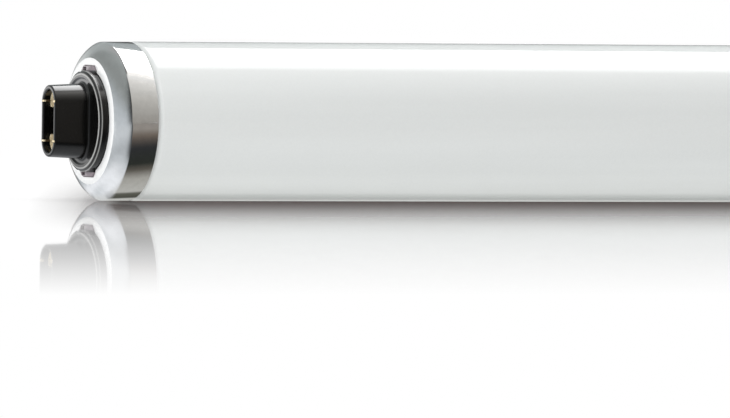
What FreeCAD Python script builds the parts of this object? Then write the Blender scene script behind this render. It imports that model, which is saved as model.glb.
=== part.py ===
"""Straight fluorescent tube, 38 mm across, with a recessed double contact base at each end.

The tube lies along X, with its middle at the origin. Each end is built once in its own frame:
x = 0 is the flat front ring of the end cap, +x points out of the lamp, and the oval boss stands
upright along z. The two ends are then placed at the two ends of the tube.
"""
import FreeCAD, Part
import math
import os
import Sketcher

# Driving dimensions in millimetres, with their aliases in the sheet.
DIMENSIONS = [
    ("cap_spacing", 544.0, "from the front ring of one cap to the front ring of the other"),
    ("glass_radius", 19.05, "outside of the straight glass"),
    ("glass_neck_drop", 1.45, "how far the glass is drawn in under the skirt"),
    ("glass_shoulder_length", 3.6, "length of the drawn-in curve"),
    ("glass_shoulder_past_skirt", 1.8, "part of that curve that shows behind the skirt"),
    ("glass_end_depth", 4.6, "end of the glass behind the front ring"),
    ("glass_end_rounding", 1.8, "outer rounding of the glass end"),
    ("glass_end_flat", 2.6, "flat of the glass end, between its two roundings"),
    ("stem_mouth_rounding", 2.2, "rounding of the mouth of the stem's hollow"),
    ("stem_lead_room", 1.75, "between the leads and the side of the hollow at its bottom"),
    ("stem_depth", 20.0, "depth of the stem's hollow"),
    ("exhaust_radius", 2.4, "sealed-off exhaust tube"),
    ("exhaust_length", 11.0, "its length from the bottom of the hollow"),
    ("cap_step", 0.05, "how much smaller the skirt is than the glass"),
    ("cap_wall", 0.4, "sheet thickness of the cap"),
    ("cap_depth", 10.0, "front ring to the cut edge of the skirt"),
    ("cap_shoulder_depth", 3.3, "depth of the rounded shoulder"),
    ("ring_width", 2.9, "flat ring and its coined step, round the hole"),
    ("cap_shoulder_radius", 6.5, "curve of the rounded shoulder"),
    ("cap_corner_radius", 0.9, "bend between shoulder and skirt"),
    ("coin_width", 0.3, "coined step round the flat ring"),
    ("coin_depth", 0.12, "depth of that step"),
    ("hole_clearance", 0.3, "between the insulator's disc and the hole of the cap"),
    ("rim_height", 2.25, "top of the disc's rim above the front ring"),
    ("rim_chamfer_height", 0.6, "height of the chamfer outside the rim"),
    ("rim_chamfer_width", 0.8, "width of that chamfer"),
    ("rim_width", 0.8, "flat top of the rim"),
    ("dish_depth", 0.4, "disc face below the rim, with a slope as wide as it is deep"),
    ("dish_margin", 0.5, "flat of the disc's face between the boss's fillet and that slope"),
    ("flange_inset", 0.7, "insulator flange inside the outer edge of the front ring"),
    ("flange_thickness", 2.0, "thickness of that flange"),
    ("back_hollow_radius", 10.0, "hollow behind the disc"),
    ("face_thickness", 1.35, "face of the disc in front of that hollow"),
    ("lug_reach", 1.1, "how far the locking lugs stand out of the disc"),
    ("lug_outer_width", 6.0, "width of a lug at its top"),
    ("lug_inner_width", 8.2, "width of a lug at its foot"),
    ("lug_height", 0.4, "how far a lug stands proud of the front ring"),
    ("lug_clearance", 0.2, "between a lug and its notch"),
    ("boss_reach", 10.6, "end of the boss from the front ring"),
    ("boss_length", 17.2, "boss end, long way"),
    ("boss_width", 8.45, "boss end, short way"),
    ("boss_draft", 2.7, "mould draft of the boss, in degrees"),
    ("boss_root_fillet", 0.6, "fillet where the boss meets the disc"),
    ("recess_wall", 1.05, "wall round the recess at the boss end"),
    ("recess_floor_rise", 0.55, "floor of the recess above the face of the disc"),
    ("recess_lead_in", 0.25, "chamfer round the mouth of the recess"),
    ("contact_thickness", 0.35, "brass strip"),
    ("contact_clearance", 0.05, "between the strip and the recess wall"),
    ("contact_below_rim", 1.8, "upper edge of the strip below the boss end"),
    ("contact_leg", 0.35, "straight leg of the strip past its bend"),
    ("contact_flare_length", 0.8, "flared tip of each leg"),
    ("contact_flare_inset", 0.45, "how far that tip leans in"),
    ("ear_width", 0.45, "ear that hooks over the rim of the boss"),
    ("ear_offset", 0.4, "ear past the centre of the strip's bend"),
    ("ear_reach", 0.75, "how far the ear reaches over the rim"),
    ("ear_clearance", 0.08, "round the ear in its groove"),
    ("tail_width", 1.4, "tail of the contact through the floor of the recess"),
    ("tail_length", 6.0, "tail below the floor of the recess"),
    ("tail_clearance", 0.12, "round the tail in its slot"),
    ("lead_radius", 0.35, "lead wire"),
    ("lead_pitch", 4.4, "lead wire from the axis where it leaves the stem"),
    ("lead_bend_radius", 3.0, "bends of the lead wire"),
    ("lead_slope_length", 6.0, "length along the tube of the wire's sloping part"),
    ("lead_overlap", 2.6, "lead wire beside the contact's tail"),
    ("weld_gap", 0.04, "between the wire and the tail"),
    ("cement_clearance", 0.05, "between the cement and what it joins"),
    ("cement_front_gap", 0.9, "between the cement and the cap's rounded shoulder"),
]

HAIR = 1e-4
ENDS = {"right": 1, "left": -1}
SIDES = {"upper": 1, "lower": -1}


class Size:
    """A length that keeps the sheet formula it comes from, so that a sketch can be bound to it."""

    def __init__(self, value, formula):
        self.value = value
        self.formula = formula

    def joined(self, other, sign, value):
        return Size(value, "(%s %s %s)" % (self.formula, sign, other.formula))

    def __add__(self, other):
        other = size_of(other)
        return self.joined(other, "+", self.value + other.value)

    def __sub__(self, other):
        other = size_of(other)
        return self.joined(other, "-", self.value - other.value)

    def __mul__(self, other):
        other = size_of(other)
        return self.joined(other, "*", self.value * other.value)

    def __truediv__(self, other):
        other = size_of(other)
        return self.joined(other, "/", self.value / other.value)

    def __neg__(self):
        return self * -1

    def tangent(self):
        """Tangent of an angle in degrees."""
        return Size(math.tan(math.radians(self.value)), "tan(%s)" % self.formula)


def size_of(number):
    """A plain number as a Size; a Size stays as it is."""
    if isinstance(number, Size):
        return number
    return Size(float(number), "(%r)" % number)


class Sheet:
    """The spreadsheet of driving dimensions, read as Sizes by alias."""

    def __init__(self, doc):
        self.sheet = doc.addObject("Spreadsheet::Sheet", "Sizes")
        for row, (alias, number, note) in enumerate(DIMENSIONS, start=1):
            self.sheet.set("A%d" % row, note)
            self.sheet.set("B%d" % row, str(number))
            self.sheet.setAlias("B%d" % row, alias)
        doc.recompute()

    def __getattr__(self, alias):
        return Size(float(self.sheet.get(alias)), "Sizes." + alias)


def add_body(doc, label):
    body = doc.addObject("PartDesign::Body", label)
    body.Label = label
    return body


def origin_feature(body, role):
    return [feature for feature in body.Origin.OriginFeatures if feature.Role == role][0]


def add_sketch(body, name, role, height=None):
    """A sketch on one of the body's origin planes, lifted along the plane's normal by a height."""
    sketch = body.newObject("Sketcher::SketchObject", name)
    sketch.AttachmentSupport = [(origin_feature(body, role), "")]
    sketch.MapMode = "FlatFace"
    if height is not None:
        sketch.setExpression("AttachmentOffset.Base.z", height.formula)
    return sketch


def bind(sketch, constraint, length):
    """Add one dimension to a sketch and tie it to the sheet."""
    index = sketch.addConstraint(constraint)
    sketch.setExpression("Constraints[%d]" % index, length.formula)


def pin_vertex(sketch, edge, end, across, up):
    """Fix one end of an edge at a distance from the sketch's origin."""
    bind(sketch, Sketcher.Constraint("DistanceX", -1, 1, edge, end, across.value), across)
    bind(sketch, Sketcher.Constraint("DistanceY", -1, 1, edge, end, up.value), up)


def arc_between(start, end, radius, turn):
    """Arc from start to end. turn is 1 for a left-hand (anticlockwise) arc and -1 for a right-hand one."""
    chord = end - start
    half = chord.Length / 2
    reach = math.sqrt(max(radius ** 2 - half ** 2, 0.0))
    normal = FreeCAD.Vector(-chord.y, chord.x, 0).normalize()
    centre = (start + end) / 2 + normal * reach * turn
    circle = Part.Circle(centre, FreeCAD.Vector(0, 0, 1), radius)
    first = math.atan2(start.y - centre.y, start.x - centre.x)
    last = math.atan2(end.y - centre.y, end.x - centre.x)
    if turn > 0:
        return Part.ArcOfCircle(circle, first, last)
    return Part.ArcOfCircle(circle, last, first)


def draw_outline(sketch, corners):
    """A closed outline. Each corner is (across, up) for a straight side that leads to it, or
    (across, up, radius, turn) for an arc that leads to it. Every corner is tied to the sheet. A half
    round, whose ends are level, is held by the height of its centre in place of its radius."""
    corners = [tuple(size_of(part) for part in corner[:3]) + tuple(corner[3:]) for corner in corners]
    places = [FreeCAD.Vector(corner[0].value, corner[1].value, 0) for corner in corners]
    starts = []
    ends = []
    for index, corner in enumerate(corners):
        start = places[index - 1]
        end = places[index]
        if len(corner) == 2:
            edge = sketch.addGeometry(Part.LineSegment(start, end), False)
            start_point, end_point = 1, 2
        else:
            radius, turn = corner[2], corner[3]
            edge = sketch.addGeometry(arc_between(start, end, radius.value, turn), False)
            start_point, end_point = (1, 2) if turn > 0 else (2, 1)
            if (end - start).Length > radius.value * 2 - HAIR:
                level = (corners[index - 1][1] + corner[1]) / 2
                bind(sketch, Sketcher.Constraint("DistanceY", -1, 1, edge, 3, level.value), level)
            else:
                bind(sketch, Sketcher.Constraint("Radius", edge, radius.value), radius)
        pin_vertex(sketch, edge, end_point, corner[0], corner[1])
        starts.append((edge, start_point))
        ends.append((edge, end_point))
    for index, (edge, start_point) in enumerate(starts):
        before, before_end = ends[index - 1]
        sketch.addConstraint(Sketcher.Constraint("Coincident", before, before_end, edge, start_point))
    return sketch


def box_outline(low_across, high_across, low_up, high_up):
    return [
        (low_across, low_up),
        (high_across, low_up),
        (high_across, high_up),
        (low_across, high_up),
    ]


def stadium_outline(length, width):
    """Oval with half-round ends, upright along the sketch's second axis."""
    side = width / 2
    straight = (length - width) / 2
    return [
        (side, -straight, side, 1),
        (side, straight),
        (-side, straight, side, 1),
        (-side, -straight),
    ]


def add_feature(body, kind, name, profile):
    feature = body.newObject("PartDesign::" + kind, name)
    feature.Profile = profile
    return feature


def revolve(body, name, profile):
    feature = add_feature(body, "Revolution", name, profile)
    feature.ReferenceAxis = (profile, ["H_Axis"])
    feature.Angle = 360
    return feature


def pad(body, name, profile, length, inwards=False, draft=None):
    """Pad along +x, or along -x when inwards."""
    feature = add_feature(body, "Pad", name, profile)
    feature.setExpression("Length", length.formula)
    feature.Reversed = inwards
    if draft is not None:
        feature.setExpression("TaperAngle", draft.formula)
    return feature


def cut(doc, body, name, profile, length, outwards=False):
    """Pocket along -x, or along +x when outwards, which has to take material away."""
    doc.recompute()
    before = body.Shape.Volume
    feature = add_feature(body, "Pocket", name, profile)
    feature.setExpression("Length", length.formula)
    feature.Reversed = outwards
    doc.recompute()
    if body.Shape.Volume >= before:
        raise RuntimeError(name + " cuts nothing")
    return feature


def shoulder_radius(run, rise):
    """Radius of an arc that starts level and climbs by rise over run."""
    return (run * run + rise * rise) / (rise * 2)


def build_glass(doc, sizes):
    """Sealed glass tube: straight barrel, drawn-in ends and the hollow stem with its exhaust tube."""
    body = add_body(doc, "glass_tube")
    half = sizes.cap_spacing / 2
    end = half - sizes.glass_end_depth
    neck = sizes.glass_radius - sizes.glass_neck_drop
    shoulder_start = half - sizes.cap_depth - sizes.glass_shoulder_past_skirt
    shoulder_end = shoulder_start + sizes.glass_shoulder_length
    shoulder_middle = (shoulder_start + shoulder_end) / 2
    middle_radius = (sizes.glass_radius + neck) / 2
    curve = shoulder_radius(sizes.glass_shoulder_length / 2, sizes.glass_neck_drop / 2)
    mouth = neck - sizes.glass_end_rounding - sizes.glass_end_flat - sizes.stem_mouth_rounding
    root = sizes.lead_pitch + sizes.lead_radius + sizes.stem_lead_room
    floor = end - sizes.stem_depth
    tip = floor + sizes.exhaust_length
    profile = add_sketch(body, "GlassHalf", "XZ_Plane")
    draw_outline(profile, [
        (0, 0),
        (tip, 0),
        (tip - sizes.exhaust_radius, sizes.exhaust_radius, sizes.exhaust_radius, 1),
        (floor, sizes.exhaust_radius),
        (floor, root),
        (end - sizes.stem_mouth_rounding, mouth),
        (end, mouth + sizes.stem_mouth_rounding, sizes.stem_mouth_rounding, -1),
        (end, neck - sizes.glass_end_rounding),
        (end - sizes.glass_end_rounding, neck, sizes.glass_end_rounding, 1),
        (shoulder_end, neck),
        (shoulder_middle, middle_radius, curve, -1),
        (shoulder_start, sizes.glass_radius, curve, 1),
        (0, sizes.glass_radius),
    ])
    half_glass = revolve(body, "HalfTube", profile)
    doc.recompute()
    mirrored = body.newObject("PartDesign::Mirrored", "BothHalves")
    mirrored.Originals = [half_glass]
    mirrored.MirrorPlane = (origin_feature(body, "YZ_Plane"), [""])
    body.Tip = mirrored
    return body


def disc_face(sizes):
    """Place along x of the dished face of the insulator's disc."""
    return sizes.rim_height - sizes.dish_depth


def boss_spread(sizes):
    """How much the mould draft widens the boss at its root, on each side."""
    return (sizes.boss_reach - disc_face(sizes)) * sizes.boss_draft.tangent()


def rim_inside(sizes):
    """Inner radius of the disc's rim: the boss at its root, its fillet, a flat and the dish's slope."""
    root = sizes.boss_length / 2 + boss_spread(sizes) + sizes.boss_root_fillet
    return root + sizes.dish_margin + sizes.dish_depth


def disc_radius(sizes):
    return rim_inside(sizes) + sizes.rim_width + sizes.rim_chamfer_width


def hole_radius(sizes):
    return disc_radius(sizes) + sizes.hole_clearance


def ring_radius(sizes):
    return hole_radius(sizes) + sizes.ring_width


def skirt_radius(sizes):
    return sizes.glass_radius - sizes.cap_step


def notch_outline(sizes, side, clearance):
    """Trapezium of a locking lug, or of its notch when there is a clearance, on one side."""
    foot = sizes.lug_inner_width / 2 + clearance
    top = sizes.lug_outer_width / 2 + clearance
    knee = disc_radius(sizes)
    low = knee - sizes.lug_reach
    high = knee + sizes.lug_reach + clearance
    corners = [(-foot, low), (foot, low), (foot, knee), (top, high), (-top, high), (-foot, knee)]
    if side > 0:
        return corners
    return [(across, -up) for across, up in reversed(corners)]


def build_cap(doc, sizes, label):
    """Drawn aluminium cap: flat ring with a coined step, rounded shoulder, skirt and notched hole."""
    body = add_body(doc, label)
    skirt = skirt_radius(sizes)
    ring = ring_radius(sizes)
    flat = ring - sizes.coin_width
    profile = add_sketch(body, "CapOutline", "XZ_Plane")
    draw_outline(profile, [
        (-sizes.cap_depth, 0),
        (0, 0),
        (0, flat),
        (-sizes.coin_depth, ring),
        (-sizes.cap_shoulder_depth, skirt, sizes.cap_shoulder_radius, 1),
        (-sizes.cap_depth, skirt),
    ])
    revolve(body, "CapBlank", profile)
    doc.recompute()
    blank = body.Tip
    corner = edge_at(blank.Shape, -sizes.cap_shoulder_depth.value, skirt.value)
    bend = body.newObject("PartDesign::Fillet", "ShoulderBend")
    bend.Base = (blank, [corner])
    bend.setExpression("Radius", sizes.cap_corner_radius.formula)
    doc.recompute()
    back = face_at(bend.Shape, -sizes.cap_depth.value)
    shell = body.newObject("PartDesign::Thickness", "SheetWall")
    shell.Base = (bend, [back])
    shell.setExpression("Value", sizes.cap_wall.formula)
    shell.Reversed = True
    shell.Mode = 0
    shell.Join = 0
    doc.recompute()
    hole = add_sketch(body, "Hole", "YZ_Plane")
    draw_circle(hole, hole_radius(sizes))
    cut(doc, body, "DiscHole", hole, sizes.cap_depth)
    for name, side in SIDES.items():
        notch = add_sketch(body, "Notch" + name, "YZ_Plane")
        draw_outline(notch, notch_outline(sizes, side, sizes.lug_clearance))
        cut(doc, body, "Notch" + name + "Cut", notch, sizes.cap_depth)
    return body


def draw_circle(sketch, radius, across=0, up=0):
    across = size_of(across)
    up = size_of(up)
    centre = FreeCAD.Vector(across.value, up.value, 0)
    index = sketch.addGeometry(Part.Circle(centre, FreeCAD.Vector(0, 0, 1), radius.value), False)
    bind(sketch, Sketcher.Constraint("Radius", index, radius.value), radius)
    pin_vertex(sketch, index, 3, across, up)


def edge_at(shape, place, radius):
    """Name of the circular edge about the x axis with this place along x and this radius."""
    for index, edge in enumerate(shape.Edges, start=1):
        curve = edge.Curve
        if not isinstance(curve, Part.Circle):
            continue
        if abs(curve.Center.x - place) < HAIR and abs(curve.Radius - radius) < HAIR:
            return "Edge%d" % index
    raise RuntimeError("no round edge at x %.3f, radius %.3f" % (place, radius))


def face_at(shape, place):
    """Name of the flat face across the x axis at this place along x."""
    for index, face in enumerate(shape.Faces, start=1):
        box = face.BoundBox
        if box.XLength < HAIR and abs(box.XMin - place) < HAIR:
            return "Face%d" % index
    raise RuntimeError("no flat face at x %.3f" % place)


def build_insulator(doc, sizes, label):
    """Black moulding: flange inside the cap, disc with a raised rim, two lugs, and the boss."""
    body = add_body(doc, label)
    seat = -sizes.cap_wall
    back = seat - sizes.flange_thickness
    face = disc_face(sizes)
    hollow = face - sizes.face_thickness
    disc = disc_radius(sizes)
    flange = ring_radius(sizes) - sizes.flange_inset
    rim = rim_inside(sizes)
    profile = add_sketch(body, "DiscProfile", "XZ_Plane")
    draw_outline(profile, [
        (hollow, 0),
        (face, 0),
        (face, rim - sizes.dish_depth),
        (sizes.rim_height, rim),
        (sizes.rim_height, rim + sizes.rim_width),
        (sizes.rim_height - sizes.rim_chamfer_height, disc),
        (seat, disc),
        (seat, flange),
        (back, flange),
        (back, sizes.back_hollow_radius),
        (hollow, sizes.back_hollow_radius),
    ])
    revolve(body, "Disc", profile)
    for name, side in SIDES.items():
        lug = add_sketch(body, "Lug" + name, "YZ_Plane", sizes.lug_height)
        draw_outline(lug, notch_outline(sizes, side, size_of(0)))
        pad(body, "Lug" + name + "Pad", lug, sizes.lug_height - seat, inwards=True)
    boss = add_sketch(body, "BossEnd", "YZ_Plane", sizes.boss_reach)
    draw_outline(boss, stadium_outline(sizes.boss_length, sizes.boss_width))
    pad(body, "Boss", boss, sizes.boss_reach - face, inwards=True, draft=sizes.boss_draft)
    doc.recompute()
    fillet_boss_root(doc, body, sizes, face)
    recess = add_sketch(body, "Recess", "YZ_Plane", sizes.boss_reach)
    recess_length = sizes.boss_length - sizes.recess_wall * 2
    recess_width = sizes.boss_width - sizes.recess_wall * 2
    draw_outline(recess, stadium_outline(recess_length, recess_width))
    cut(doc, body, "RecessPocket", recess, sizes.boss_reach - recess_floor(sizes))
    chamfer_recess_mouth(doc, body, sizes)
    cut_ear_grooves(doc, body, sizes)
    cut_tail_slots(doc, body, sizes, hollow)
    return body


def fillet_boss_root(doc, body, sizes, face):
    """Round the inside corner between the boss and the face of the disc."""
    boss = body.Tip
    half_width = sizes.boss_width / 2 + boss_spread(sizes)
    names = []
    for index, edge in enumerate(boss.Shape.Edges, start=1):
        box = edge.BoundBox
        level = abs(box.XMin - face.value) < HAIR and abs(box.XMax - face.value) < HAIR
        inside = max(abs(box.YMin), abs(box.YMax)) < half_width.value + HAIR
        if level and inside:
            names.append("Edge%d" % index)
    fillet = body.newObject("PartDesign::Fillet", "BossRoot")
    fillet.Base = (boss, names)
    fillet.setExpression("Radius", sizes.boss_root_fillet.formula)
    doc.recompute()


def chamfer_recess_mouth(doc, body, sizes):
    """Lead-in round the mouth of the recess."""
    pocket = body.Tip
    half_width = recess_half_width(sizes).value
    names = []
    for index, edge in enumerate(pocket.Shape.Edges, start=1):
        box = edge.BoundBox
        at_end = abs(box.XMin - sizes.boss_reach.value) < HAIR and box.XLength < HAIR
        if at_end and max(abs(box.YMin), abs(box.YMax)) < half_width + HAIR:
            names.append("Edge%d" % index)
    chamfer = body.newObject("PartDesign::Chamfer", "RecessLeadIn")
    chamfer.Base = (pocket, names)
    chamfer.setExpression("Size", sizes.recess_lead_in.formula)
    doc.recompute()


def bend_centre(sizes):
    """Height of the centre of the half-round ends of boss, recess and contact."""
    return (sizes.boss_length - sizes.boss_width) / 2


def recess_half_width(sizes):
    return sizes.boss_width / 2 - sizes.recess_wall


def ear_span(sizes):
    """Low and high z of an upper ear."""
    middle = bend_centre(sizes) + sizes.ear_offset
    return middle - sizes.ear_width / 2, middle + sizes.ear_width / 2


def strip_outer_radius(sizes):
    return recess_half_width(sizes) - sizes.contact_clearance


def cut_ear_grooves(doc, body, sizes):
    """Four grooves across the rim of the boss, one for each ear of the contacts."""
    low, high = ear_span(sizes)
    inner = recess_half_width(sizes) - sizes.contact_thickness
    outer = recess_half_width(sizes) + sizes.ear_reach + sizes.ear_clearance
    depth = sizes.contact_thickness + sizes.ear_clearance
    grooves = add_sketch(body, "EarGrooves", "YZ_Plane", sizes.boss_reach)
    low = low - sizes.ear_clearance
    high = high + sizes.ear_clearance
    for side in SIDES.values():
        for flank in (1, -1):
            corners = box_outline(inner * flank, outer * flank, low * side, high * side)
            draw_outline(grooves, corners)
    cut(doc, body, "EarGroovesPocket", grooves, depth)


def strip_set_in(sizes):
    """How far the flat ears and tail are set in, so that their corners stay inside the round bend."""
    return sizes.contact_clearance * 2


def tail_face(sizes):
    """Outer and inner z of an upper contact's tail."""
    outer = bend_centre(sizes) + strip_outer_radius(sizes) - strip_set_in(sizes)
    return outer, outer - sizes.contact_thickness


def cut_tail_slots(doc, body, sizes, hollow):
    """Two slots through the floor of the recess for the tails of the contacts."""
    outer, inner = tail_face(sizes)
    gap = sizes.tail_clearance
    half = sizes.tail_width / 2 + gap
    slots = add_sketch(body, "TailSlots", "YZ_Plane", recess_floor(sizes))
    for side in SIDES.values():
        draw_outline(slots, box_outline(-half, half, (inner - gap) * side, (outer + gap) * side))
    cut(doc, body, "TailSlotsPocket", slots, recess_floor(sizes) - hollow)


def recess_floor(sizes):
    return disc_face(sizes) + sizes.recess_floor_rise


def strip_outline(sizes):
    """Outline across the upper contact's strip: a half-round bend, two legs and flared tips."""
    outer = strip_outer_radius(sizes)
    inner = outer - sizes.contact_thickness
    centre = bend_centre(sizes)
    leg = centre - sizes.contact_leg
    tip = leg - sizes.contact_flare_length
    lean = sizes.contact_flare_inset
    return [
        (outer, centre),
        (-outer, centre, outer, 1),
        (-outer, leg),
        (-outer + lean, tip),
        (-inner + lean, tip),
        (-inner, leg),
        (-inner, centre),
        (inner, centre, inner, -1),
        (inner, leg),
        (inner - lean, tip),
        (outer - lean, tip),
        (outer, leg),
    ]


def build_contact(doc, sizes, label, side):
    """Brass strip bent round one end of the recess, with two ears over the rim and a tail."""
    body = add_body(doc, label)
    floor = recess_floor(sizes)
    top = sizes.boss_reach - sizes.contact_below_rim
    strip = add_sketch(body, "Strip", "YZ_Plane", floor)
    corners = strip_outline(sizes)
    if side < 0:
        corners = [flipped(corner) for corner in corners]
    draw_outline(strip, corners)
    pad(body, "StripPad", strip, top - floor)
    outer = strip_outer_radius(sizes)
    inner = outer - sizes.contact_thickness
    set_in = strip_set_in(sizes)
    low, high = ear_span(sizes)
    over = recess_half_width(sizes) + sizes.ear_reach
    riser_length = sizes.contact_below_rim + sizes.contact_thickness * 2
    for flank_name, flank in (("Near", -1), ("Far", 1)):
        foot = (inner - set_in) * flank
        ears = {
            "Riser": ((outer - set_in) * flank, riser_length),
            "Hook": (over * flank, sizes.contact_thickness),
        }
        for ear_name, (reach, length) in ears.items():
            ear = add_sketch(body, flank_name + ear_name, "YZ_Plane", sizes.boss_reach)
            draw_outline(ear, box_outline(foot, reach, low * side, high * side))
            pad(body, flank_name + ear_name + "Pad", ear, length, inwards=True)
    tail_outer, tail_inner = tail_face(sizes)
    half = sizes.tail_width / 2
    tail = add_sketch(body, "Tail", "YZ_Plane", floor + sizes.contact_thickness)
    draw_outline(tail, box_outline(-half, half, tail_inner * side, tail_outer * side))
    pad(body, "TailPad", tail, sizes.tail_length + sizes.contact_thickness, inwards=True)
    return body


def flipped(corner):
    """The same corner below the axis."""
    if len(corner) == 2:
        return (corner[0], -corner[1])
    return (corner[0], -corner[1], corner[2], -corner[3])


def build_lead(doc, sizes, label, side):
    """Lead wire from the stem of the glass, out past the exhaust tube and beside the contact's tail."""
    body = add_body(doc, label)
    start = -sizes.glass_end_depth - sizes.stem_depth
    tail_end = recess_floor(sizes) - sizes.tail_length
    finish = tail_end + sizes.lead_overlap
    slope_end = tail_end - sizes.lead_radius
    slope_start = slope_end - sizes.lead_slope_length
    inner_height = sizes.lead_pitch
    outer_height = tail_face(sizes)[1] - sizes.lead_radius - sizes.weld_gap
    route = add_sketch(body, "Route", "XZ_Plane")
    draw_route(route, sizes, [
        (start, inner_height * side),
        (slope_start, inner_height * side),
        (slope_end, outer_height * side),
        (finish, outer_height * side),
    ])
    section = add_sketch(body, "Section", "YZ_Plane", start)
    draw_circle(section, sizes.lead_radius, 0, inner_height * side)
    doc.recompute()
    wire = body.newObject("PartDesign::AdditivePipe", "Wire")
    wire.Profile = section
    wire.Spine = (route, ["Edge%d" % (index + 1) for index in range(len(route.Shape.Edges))])
    return body


def draw_route(sketch, sizes, points):
    """Straight runs through the points, joined by tangent bends."""
    places = [FreeCAD.Vector(across.value, up.value, 0) for across, up in points]
    bend = sizes.lead_bend_radius
    runs = []
    setbacks = [0.0]
    for index in range(1, len(places) - 1):
        before = places[index] - places[index - 1]
        after = places[index + 1] - places[index]
        setbacks.append(bend.value * math.tan(before.getAngle(after) / 2))
    setbacks.append(0.0)
    for index in range(1, len(places)):
        way = (places[index] - places[index - 1]).normalize()
        first = places[index - 1] + way * setbacks[index - 1]
        last = places[index] - way * setbacks[index]
        runs.append(sketch.addGeometry(Part.LineSegment(first, last), False))
    for index, run in enumerate(runs[:-1]):
        following = runs[index + 1]
        turn = places[index + 1]
        first = sketch.Geometry[run].EndPoint
        last = sketch.Geometry[following].StartPoint
        before = first - places[index]
        side = 1 if before.cross(last - turn).z > 0 else -1
        arc = sketch.addGeometry(arc_between(first, last, bend.value, side), False)
        arc_start, arc_end = (1, 2) if side > 0 else (2, 1)
        sketch.addConstraint(Sketcher.Constraint("Tangent", run, 2, arc, arc_start))
        sketch.addConstraint(Sketcher.Constraint("Tangent", arc, arc_end, following, 1))
        bind(sketch, Sketcher.Constraint("Radius", arc, bend.value), bend)
        corner = sketch.addGeometry(Part.Point(turn), True)
        pin_vertex(sketch, corner, 1, points[index + 1][0], points[index + 1][1])
        for line in (run, following):
            sketch.addConstraint(Sketcher.Constraint("PointOnObject", corner, 1, line))
    pin_vertex(sketch, runs[0], 1, points[0][0], points[0][1])
    pin_vertex(sketch, runs[-1], 2, points[-1][0], points[-1][1])


def build_cement(doc, sizes, label):
    """Ring of basing cement between the neck of the glass and the skirt of the cap."""
    body = add_body(doc, label)
    neck = sizes.glass_radius - sizes.glass_neck_drop
    profile = add_sketch(body, "CementRing", "XZ_Plane")
    back = sizes.glass_shoulder_length - sizes.glass_shoulder_past_skirt - sizes.cap_depth
    front = -sizes.cap_shoulder_depth - sizes.cement_front_gap
    inner = neck + sizes.cement_clearance
    outer = skirt_radius(sizes) - sizes.cap_wall - sizes.cement_clearance
    draw_outline(profile, box_outline(back, front, inner, outer))
    revolve(body, "Ring", profile)
    return body


def place_end(body, sizes, end):
    """Move a piece built in the frame of one end to that end of the tube."""
    turn = 0 if end > 0 else 180
    body.Placement = FreeCAD.Placement(FreeCAD.Vector(), FreeCAD.Rotation(FreeCAD.Vector(0, 0, 1), turn))
    body.setExpression("Placement.Base.x", (sizes.cap_spacing / 2 * end).formula)


def check_document(doc, bodies):
    for item in doc.Objects:
        if "Invalid" in item.State or "Error" in item.State:
            raise RuntimeError("%s failed: %s" % (item.Label, item.State))
    for body in bodies:
        if body.Shape.isNull() or not body.Shape.isValid() or len(body.Shape.Solids) != 1:
            raise RuntimeError("%s is not one sound solid" % body.Label)


def main():
    doc = FreeCAD.newDocument("FluorescentTube")
    sizes = Sheet(doc)
    bodies = [build_glass(doc, sizes)]
    for end_name, end in ENDS.items():
        pieces = [
            build_cap(doc, sizes, end_name + "_end_cap"),
            build_insulator(doc, sizes, end_name + "_insulator"),
            build_cement(doc, sizes, end_name + "_cement"),
        ]
        for side_name, side in SIDES.items():
            name = "%s_%s_" % (end_name, side_name)
            pieces.append(build_contact(doc, sizes, name + "contact", side))
            pieces.append(build_lead(doc, sizes, name + "lead", side))
        for piece in pieces:
            place_end(piece, sizes, end)
        bodies.extend(pieces)
    doc.recompute()
    check_document(doc, bodies)
    os.makedirs("parts", exist_ok=True)
    for body in bodies:
        body.Shape.exportStep(os.path.join("parts", body.Label + ".step"))
        box = body.Shape.BoundBox
        print("%-22s %10.2f mm3  x %8.2f to %8.2f" % (body.Label, body.Shape.Volume, box.XMin, box.XMax))


main()
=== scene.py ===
# %% [markdown]
# # A straight fluorescent tube, dressed in Blender
# The lamp is a glass tube 38 mm across. It is coated inside with a white powder, and it ends in two
# aluminium caps. Each cap holds a black moulding with an oval boss, and the two contacts of that end
# sit inside the boss, where a finger can't reach them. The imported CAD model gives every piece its
# place. This lesson remakes the pieces that the eye meets, with softened edges and finer curves, and
# gives every piece the finish of the real one.

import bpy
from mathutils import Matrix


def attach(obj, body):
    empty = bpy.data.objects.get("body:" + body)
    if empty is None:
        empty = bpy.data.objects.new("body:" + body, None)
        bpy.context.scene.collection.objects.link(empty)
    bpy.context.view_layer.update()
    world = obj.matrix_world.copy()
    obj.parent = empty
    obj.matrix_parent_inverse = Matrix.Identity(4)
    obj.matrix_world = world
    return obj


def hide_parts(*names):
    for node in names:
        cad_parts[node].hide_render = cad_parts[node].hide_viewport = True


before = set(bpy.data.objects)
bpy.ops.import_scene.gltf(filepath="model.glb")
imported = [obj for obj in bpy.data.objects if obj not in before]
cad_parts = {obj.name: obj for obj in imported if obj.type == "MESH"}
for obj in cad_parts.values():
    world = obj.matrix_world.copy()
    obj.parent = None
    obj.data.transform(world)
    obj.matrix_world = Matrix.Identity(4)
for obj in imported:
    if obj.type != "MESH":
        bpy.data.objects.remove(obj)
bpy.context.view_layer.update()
print("CAD nodes:", len(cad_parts))

# %% Other modules and the unit
import math
import bmesh
import bpy
from mathutils import Matrix, Vector

MM = 0.001

# %% [markdown]
# A few helpers serve every material. Colours are written as the hex values that a colour picker shows,
# and a shader wants linear light, so one function turns the first into the second. Another adds a node
# with its settings, its values and its links in one line.

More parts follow.
